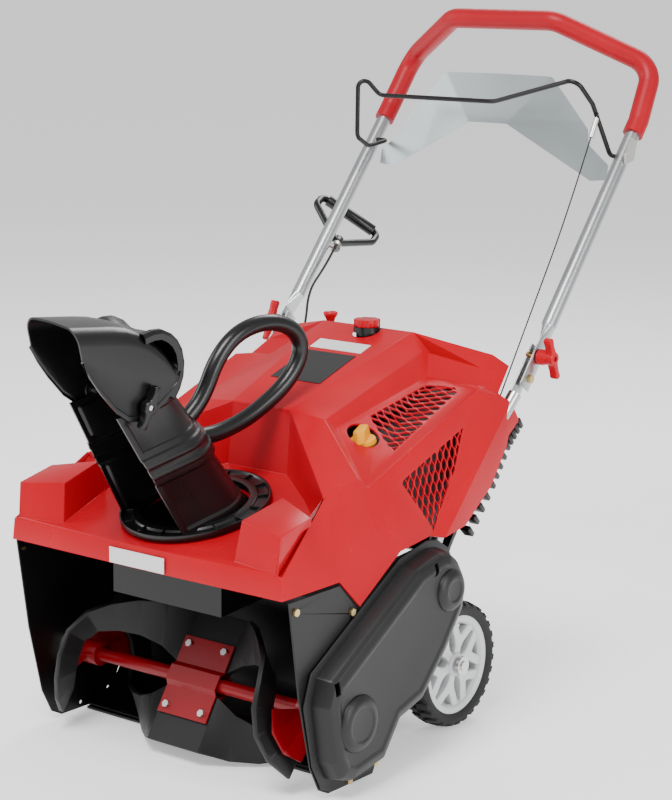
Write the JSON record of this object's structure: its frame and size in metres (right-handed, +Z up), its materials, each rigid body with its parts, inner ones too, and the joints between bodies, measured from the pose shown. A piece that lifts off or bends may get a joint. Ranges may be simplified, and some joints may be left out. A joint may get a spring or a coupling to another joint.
{
  "type": "single stage snow thrower",
  "caption": "Walk-behind single-stage snow thrower with a paddle auger, turning discharge spout with tilting cap, faceted hood, fold-down handle with bail and rope starter.",
  "frame": {"origin": "on the ground, under the middle of the whole machine's bounding box", "axes": "+Z up, -Y to the front where the auger takes snow in, +X to the belt cover side"},
  "size_m": [0.6598, 1.1827, 1.1255],
  "materials": {
    "red_plastic": "gloss",
    "red_paint": "gloss",
    "black_plastic": "matte",
    "black_paint": "satin",
    "foam": "satin",
    "handle_tube": "satin",
    "silver_paint": "satin",
    "rubber": "matte",
    "tyre": "matte",
    "rim_grey": "satin",
    "zinc": "satin",
    "gold_zinc": "satin",
    "steel": "satin",
    "cast_iron": "matte",
    "yellow_plastic": "gloss",
    "label": "matte",
    "cord": "matte"
  },
  "bodies": {
    "chassis": {"side_plate_left": "black_paint", "side_plate_right": "black_paint", "auger_housing": "black_paint", "discharge_duct": "black_plastic", "scraper_bar": "black_plastic", "engine_frame": "black_paint", "belt_cover": "black_plastic", "chassis_bolts": "gold_zinc", "auger_bearings": "steel", "axle": "steel", "wheel_spacers": "black_plastic", "hub_caps": "zinc", "engine_block": "cast_iron", "muffler": "steel", "carburettor": "cast_iron", "fuel_tank": "black_plastic", "recoil_housing": "black_plastic", "hood": "red_plastic", "rear_cover": "black_plastic", "front_label": "label", "lower_handle_left": "handle_tube", "lower_handle_right": "handle_tube", "drive_belt": "rubber", "starter_rope": "cord"},
    "auger": {"auger_shaft": "red_paint", "auger_brackets": "red_paint", "auger_paddle_a": "rubber", "auger_paddle_b": "rubber", "auger_ends": "red_paint", "auger_bolts": "zinc", "auger_pulley": "steel"},
    "crank": {"crankshaft": "steel", "crank_pulley": "steel"},
    "idler": {"idler_arm": "steel"},
    "idler_wheel": {"idler_pulley": "steel"},
    "left_wheel": {"tyre_left": "tyre", "rim_left": "rim_grey"},
    "right_wheel": {"tyre_right": "tyre", "rim_right": "rim_grey"},
    "reel": {"recoil_reel": "black_plastic"},
    "choke": {"choke_knob": "yellow_plastic"},
    "pull_knob": {"key_knob": "red_plastic"},
    "filler_cap": {"fuel_cap": "red_plastic"},
    "spout": {"chute": "black_plastic", "deflector_bolts": "zinc"},
    "spout_cap": {"deflector": "black_plastic"},
    "spout_knob": {"deflector_knob": "black_plastic"},
    "handle": {"upper_handle": "handle_tube", "grip": "foam", "handle_bolts": "zinc", "control_panel": "silver_paint", "bail_bracket": "zinc", "rope_guide": "zinc"},
    "left_knob": {"handle_knob_left": "red_plastic"},
    "right_knob": {"handle_knob_right": "red_plastic"},
    "bail_wire": {"bail": "black_paint"},
    "cable": {"control_cable": "cord", "cable_spring": "zinc"},
    "pull_grip": {"starter_grip": "black_plastic"}
  },
  "joints": [
    {"name": "auger_spin", "type": "hinge", "parent": "chassis", "child": "auger", "pos_m": [0, -0.305, 0.112], "axis": [1, 0, 0], "continuous": true},
    {"name": "crank_spin", "type": "hinge", "parent": "chassis", "child": "crank", "pos_m": [0, -0.077, 0.263], "axis": [1, 0, 0], "continuous": true},
    {"name": "idler_swing", "type": "hinge", "parent": "chassis", "child": "idler", "pos_m": [0.28, -0.137, 0.218], "axis": [-1, 0, 0], "range_deg": [0, 4.5]},
    {"name": "idler_roll", "type": "hinge", "parent": "idler", "child": "idler_wheel", "pos_m": [0.294, -0.201, 0.2025], "axis": [1, 0, 0], "continuous": true},
    {"name": "wheel_left_spin", "type": "hinge", "parent": "chassis", "child": "left_wheel", "pos_m": [-0.228, 0.04, 0.102], "axis": [1, 0, 0], "continuous": true},
    {"name": "wheel_right_spin", "type": "hinge", "parent": "chassis", "child": "right_wheel", "pos_m": [0.228, 0.04, 0.102], "axis": [1, 0, 0], "continuous": true},
    {"name": "choke_turn", "type": "hinge", "parent": "chassis", "child": "choke", "pos_m": [0.172, -0.118, 0.48], "axis": [0, 0, 1], "range_deg": [0, 90]},
    {"name": "key_pull", "type": "slide", "parent": "chassis", "child": "pull_knob", "axis": [0, 0, 1], "range_m": [0, 0.02]},
    {"name": "cap_turn", "type": "hinge", "parent": "chassis", "child": "filler_cap", "pos_m": [0.01, 0.102, 0.616], "axis": [0, 0, 1], "continuous": true},
    {"name": "chute_turn", "type": "hinge", "parent": "chassis", "child": "spout", "pos_m": [0, -0.31, 0.388], "axis": [0, -0.2419, 0.9703], "range_deg": [-85, 105]},
    {"name": "deflector_tilt", "type": "hinge", "parent": "spout", "child": "spout_cap", "pos_m": [-0.01841, -0.46081, 0.57816], "axis": [0.9836, -0.1752, -0.0437], "range_deg": [-12, 40]},
    {"name": "deflector_knob_turn", "type": "hinge", "parent": "spout", "child": "spout_knob", "pos_m": [0.0524, -0.47342, 0.57502], "axis": [0.9836, -0.1752, -0.0437], "continuous": true},
    {"name": "handle_fold", "type": "hinge", "parent": "chassis", "child": "handle", "pos_m": [0, 0.194, 0.547], "axis": [1, 0, 0], "range_deg": [0, 100], "deforming": ["starter_rope", "control_cable"]},
    {"name": "handle_knob_left_turn", "type": "hinge", "parent": "handle", "child": "left_knob", "pos_m": [-0.29, 0.22088, 0.57927], "axis": [1, 0, 0], "continuous": true},
    {"name": "handle_knob_right_turn", "type": "hinge", "parent": "handle", "child": "right_knob", "pos_m": [0.29, 0.22088, 0.57927], "axis": [1, 0, 0], "continuous": true},
    {"name": "bail_pivot", "type": "hinge", "parent": "handle", "child": "bail_wire", "pos_m": [0, 0.472, 0.886], "axis": [-1, 0, 0], "range_deg": [0, 32], "stiffness_Nm_per_rad": 1.5, "springref_deg": -22.92},
    {"name": "cable_slide", "type": "slide", "parent": "handle", "child": "cable", "axis": [0.0291, 0.4189, 0.9076], "range_m": [0, 0.04]},
    {"name": "starter_pull", "type": "slide", "parent": "handle", "child": "pull_grip", "axis": [-0.3755, 0.851, 0.3671], "range_m": [0, 0.5], "stiffness_N_per_m": 6, "springref_m": -0.35, "deforming": ["starter_rope"]},
    {"name": "reel_spin", "type": "hinge", "parent": "chassis", "child": "reel", "pos_m": [-0.13, -0.077, 0.263], "axis": [1, 0, 0], "range_deg": [0, 480]}
  ],
  "couplings": [
    {"joint": "crank_spin", "follows": "auger_spin", "ratio": 2.1818},
    {"joint": "idler_roll", "follows": "auger_spin", "ratio": 4},
    {"joint": "idler_swing", "follows": "bail_pivot", "ratio": 0.14062},
    {"joint": "cable_slide", "follows": "bail_pivot", "m_per_rad": 0.07},
    {"joint": "reel_spin", "follows": "starter_pull", "rad_per_m": 16.7}
  ]
}
